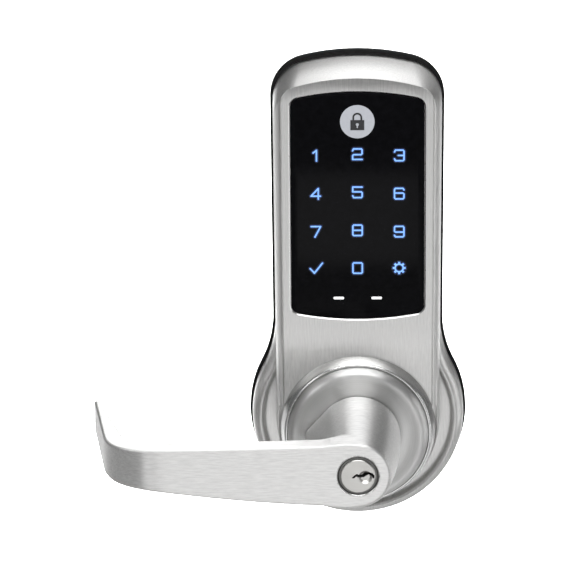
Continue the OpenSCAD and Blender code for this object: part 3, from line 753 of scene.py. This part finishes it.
def lever_distance(p):
    """Signed distance from each row of p, a point in millimetres, to the lever's surface."""
    x, h, z = p[:, 0], -p[:, 1], p[:, 2]
    return lever_from(polygon_distance(FRONT_POINTS, x, z), polygon_distance(PLAN_POINTS, x, h), x, h, z)


def surface_net(values, low, step):
    """Quads on the zero surface of a grid of distances, with a vertex in each cell that it crosses."""
    inside = values < 0
    n = np.array(values.shape)
    total = np.zeros((*(n - 1), 3), np.float32)
    count = np.zeros(n - 1, np.float32)
    crossings = []
    for axis in range(3):
        others = [k for k in range(3) if k != axis]
        near = [slice(None)] * 3
        far = [slice(None)] * 3
        near[axis], far[axis] = slice(0, -1), slice(1, None)
        va, vb = values[tuple(near)], values[tuple(far)]
        crossed = inside[tuple(near)] != inside[tuple(far)]
        t = np.where(crossed, va / np.where(crossed, va - vb, 1), 0)
        crossings.append((crossed, inside[tuple(near)]))
        for o1 in (0, 1):
            for o2 in (0, 1):
                part = [slice(None)] * 3
                part[others[0]] = slice(o1, n[others[0]] - 1 + o1)
                part[others[1]] = slice(o2, n[others[1]] - 1 + o2)
                c = crossed[tuple(part)]
                total[..., axis] += t[tuple(part)]
                total[..., others[0]] += c * o1
                total[..., others[1]] += c * o2
                count += c
    cells = np.argwhere(count > 0)
    number = np.full(n - 1, -1)
    number[tuple(cells.T)] = np.arange(len(cells))
    verts = (cells + total[tuple(cells.T)] / count[tuple(cells.T)][:, None]) * step + low
    quads = []
    for axis, (crossed, starts_inside) in enumerate(crossings):
        u, v = (axis + 1) % 3, (axis + 2) % 3
        edges = np.argwhere(crossed)
        keep = (edges[:, u] > 0) & (edges[:, v] > 0) & (edges[:, u] < n[u] - 1) & (edges[:, v] < n[v] - 1)
        edges = edges[keep]
        corner = []
        for du, dv in ((1, 1), (0, 1), (0, 0), (1, 0)):
            cell = edges.copy()
            cell[:, u] -= du
            cell[:, v] -= dv
            corner.append(number[tuple(cell.T)])
        quad = np.stack(corner, 1)
        flip = ~starts_inside[tuple(edges.T)]
        quad[flip] = quad[flip][:, ::-1]
        quads.append(quad)
    return verts, np.concatenate(quads)


def lever_gradient(p, d):
    """Unit direction away from the lever's surface at each point, measured over d on both sides."""
    steps = np.eye(3) * d
    g = np.stack([lever_distance(p + s) - lever_distance(p - s) for s in steps], 1)
    return g / np.maximum(np.linalg.norm(g, axis=1, keepdims=True), 1e-9)


def build_lever():
    """Meshes the distance field, moves each vertex onto the surface and smooths the normals."""
    low = np.array([-LEVER_REACH - 2.2, -LEVER_H - 1.6, -21.2])
    high = np.array([HUB_R + 6.3, -TIP_H + 2.2, 21.2])
    x, y, z = (np.arange(a, b, LEVER_GRID) for a, b in zip(low, high))
    front_d = polygon_distance(FRONT_POINTS, *np.meshgrid(x, z, indexing="ij"))[:, None, :]
    plan_d = polygon_distance(PLAN_POINTS, *np.meshgrid(x, -y, indexing="ij"))[:, :, None]
    field = lever_from(front_d, plan_d, x[:, None, None], -y[None, :, None], z[None, None, :])
    verts, quads = surface_net(field, low, LEVER_GRID)
    for _ in range(2):
        verts = verts - lever_gradient(verts, 0.04) * lever_distance(verts)[:, None]
    obj = new_object("lever_blade", verts, quads, 180)
    normals = lever_gradient(verts, 0.3)
    obj.data.normals_split_custom_set_from_vertices([tuple(v) for v in normals])
    return obj


lever = build_lever()
paint(lever, LEVER)
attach(lever, "lever")
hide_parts("lever_handle")

lip = turned("cylinder_hole_lip", [
    (8.98, 92.0), (9.5, 92.0), (9.85, 93.9), (9.8, 94.0), (9.45, 94.0), (9.15, 93.8), (9.0, 93.5),
], 128, smooth_angle=60)
paint(lip, COLLAR)
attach(lip, "lever")


# ---- Camera, light and backdrop ----

# Camera: place in metres, angles in degrees, lens in millimetres on a 36 mm sensor
CAMERA_AT = (0, -1.8966, 0.6943)
CAMERA_PITCH = 18.5
CAMERA_YAW = 1.0477
CAMERA_ROLL = -0.467
LENS_MM = 276.15
SENSOR_MM = 36

FLOOR_Z = -1.0          # metres
FLOOR_HALF = 9.0
WORLD_STRENGTH = 0.16
LOCK_CENTRE = (0, 0, 0.05)
# Soft lights aimed at the lock: place, width and height in metres, power in watts
LIGHTS = {
    "overhead": ((0, -0.15, 1.5), (0.9, 0.9), 4.0),
    "overhead_front": ((0, -0.9, 1.5), (1.6, 0.6), 19.0),
    "overhead_back": ((0, 1.2, 1.1), (0.9, 0.6), 4.0),
    "front_low": ((0, -1.8, -0.55), (0.6, 0.7), 1.8),
    "front_low_wide": ((0.1, -1.8, -0.55), (1.1, 0.7), 1.8),
    "back_left_low": ((-1.27, 1.27, -0.55), (0.9, 0.7), 1.8),
    "front_right": ((1.06, -1.06, 0.8), (0.8, 0.8), 0.8),
    "front_left": ((-1.0, -1.3, 0.62), (0.5, 0.7), 4.6),
    "right_side": ((1.6, -0.2, -0.1), (0.5, 1.4), 6.0),
    "left_strip": ((-1.5, -0.3, 0.1), (0.3, 1.8), 0.5),
}


def look_at_lock():
    """Camera in front of the lock and above it, level apart from a slight roll."""
    pitch, yaw = math.radians(CAMERA_PITCH), math.radians(CAMERA_YAW)
    forward = Vector((-math.sin(yaw) * math.cos(pitch), math.cos(yaw) * math.cos(pitch), -math.sin(pitch)))
    cam = bpy.data.objects.new("camera", bpy.data.cameras.new("camera"))
    bpy.context.scene.collection.objects.link(cam)
    cam.location = CAMERA_AT
    turn = forward.to_track_quat("-Z", "Y").to_matrix().to_4x4()
    roll = Matrix.Rotation(math.radians(CAMERA_ROLL), 4, "Z")
    cam.matrix_world = Matrix.Translation(cam.location) @ turn @ roll
    cam.data.lens = LENS_MM
    cam.data.sensor_width = SENSOR_MM
    cam.data.clip_start = 0.05
    cam.data.clip_end = 60
    bpy.context.scene.camera = cam


def area_light(name, position, target, size, power):
    """White rectangular light aimed at target, unseen by the camera."""
    data = bpy.data.lights.new(name, "AREA")
    data.shape = "RECTANGLE"
    data.size, data.size_y = size
    data.energy = power
    light = bpy.data.objects.new(name, data)
    light.location = position
    light.rotation_mode = "QUATERNION"
    light.rotation_quaternion = (Vector(target) - Vector(position)).to_track_quat("-Z", "Y")
    light.visible_camera = False
    bpy.context.scene.collection.objects.link(light)
    return light


def build_stage():
    """Pale floor, even surroundings and the lights."""
    mat = mottled("floor_white", (0.86, 0.86, 0.86), (0.88, 0.88, 0.88), (0.8, 0.9), 3, strength=0.0)
    corners = [(-1, -1), (1, -1), (1, 1), (-1, 1)]
    verts = [(x * FLOOR_HALF / MM, y * FLOOR_HALF / MM, FLOOR_Z / MM) for x, y in corners]
    floor = new_object("floor", verts, [(0, 1, 2, 3)], 32)
    paint(floor, mat)
    world = bpy.data.worlds.new("world")
    bpy.context.scene.world = world
    world.use_nodes = True
    background = world.node_tree.nodes["Background"]
    background.inputs["Color"].default_value = (1, 1, 1, 1)
    background.inputs["Strength"].default_value = WORLD_STRENGTH
    for name, (position, size, power) in LIGHTS.items():
        area_light(name, position, LOCK_CENTRE, size, power)
    wash = area_light("floor_wash", (0, -0.5, 3.0), (0, 3.3, FLOOR_Z), (1.0, 1.0), 150)
    wash.data.spread = math.radians(44)


look_at_lock()
build_stage()
bpy.context.scene.view_settings.view_transform = "Standard"
bpy.context.scene.view_settings.look = "None"
